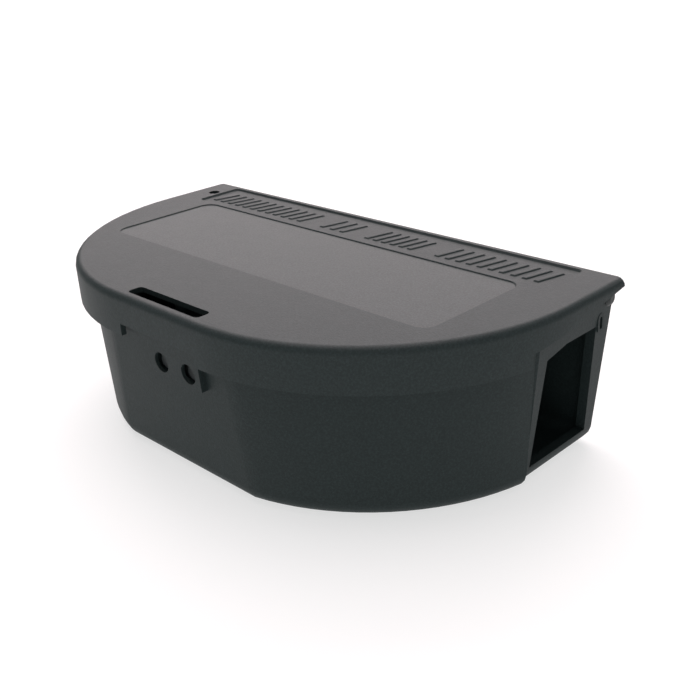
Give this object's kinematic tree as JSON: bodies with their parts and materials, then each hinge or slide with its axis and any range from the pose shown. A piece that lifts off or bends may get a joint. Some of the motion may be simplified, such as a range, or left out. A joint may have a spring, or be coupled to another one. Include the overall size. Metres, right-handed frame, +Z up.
{
  "type": "rodent bait station",
  "caption": "Lockable rodent bait station: rounded-front tub with side entries, hinged lid, two-prong key catch, and lift-out tray, rods and partition.",
  "frame": {"origin": "centre of the bounding box's footprint, on the floor", "axes": "+Z up; -Y towards the curved front with the catch; +Y towards the straight back; +X to the right, seen from the front"},
  "size_m": [0.26, 0.14, 0.078],
  "materials": {
    "charcoal_plastic": "fine moulded grain",
    "inner_plastic": "plain moulded",
    "catch_plastic": "plain moulded",
    "plated_steel": "zinc plated",
    "blackened_steel": "blackened",
    "bait_wax": "waxy, slightly rough"
  },
  "bodies": {
    "base": {"base_tub": "charcoal_plastic", "hinge_pin_left": "blackened_steel", "hinge_pin_right": "blackened_steel"},
    "lid": {"lid_shell": "charcoal_plastic", "catch_bracket": "catch_plastic", "catch_pivot": "plated_steel", "catch_screw_left": "plated_steel", "catch_screw_right": "plated_steel", "catch_spring_left": "plated_steel", "catch_spring_right": "plated_steel"},
    "tongue_left": {"catch_tongue_left": "catch_plastic"},
    "tongue_right": {"catch_tongue_right": "catch_plastic"},
    "partition": {"tunnel_partition": "inner_plastic"},
    "tray": {"bait_tray": "inner_plastic"},
    "rod_left": {"bait_rod_left": "plated_steel", "bait_block_1": "bait_wax", "bait_block_2": "bait_wax"},
    "rod_right": {"bait_rod_right": "plated_steel", "bait_block_3": "bait_wax", "bait_block_4": "bait_wax"}
  },
  "joints": [
    {"name": "lid_hinge", "type": "hinge", "parent": "base", "child": "lid", "pos_m": [0, 0.0656, 0.0698], "axis": [-1, 0, 0], "range_deg": [0, 105]},
    {"name": "catch_left_press", "type": "hinge", "parent": "lid", "child": "tongue_left", "pos_m": [-0.00025, -0.061, 0.0652], "axis": [1, 0, 0], "range_deg": [0, 8], "stiffness_Nm_per_rad": 0.3, "springref_deg": -5.73},
    {"name": "catch_right_press", "type": "hinge", "parent": "lid", "child": "tongue_right", "pos_m": [0.01765, -0.061, 0.0652], "axis": [1, 0, 0], "range_deg": [0, 8], "stiffness_Nm_per_rad": 0.3, "springref_deg": -5.73},
    {"name": "partition_lift", "type": "slide", "parent": "base", "child": "partition", "axis": [0, 0, 1], "range_m": [0, 0.017]},
    {"name": "tray_lift", "type": "slide", "parent": "base", "child": "tray", "axis": [0, 0, 1], "range_m": [0, 0.015]},
    {"name": "rod_left_lift", "type": "slide", "parent": "tray", "child": "rod_left", "axis": [0, 0, 1], "range_m": [0, 0.012]},
    {"name": "rod_right_lift", "type": "slide", "parent": "tray", "child": "rod_right", "axis": [0, 0, 1], "range_m": [0, 0.012]}
  ]
}
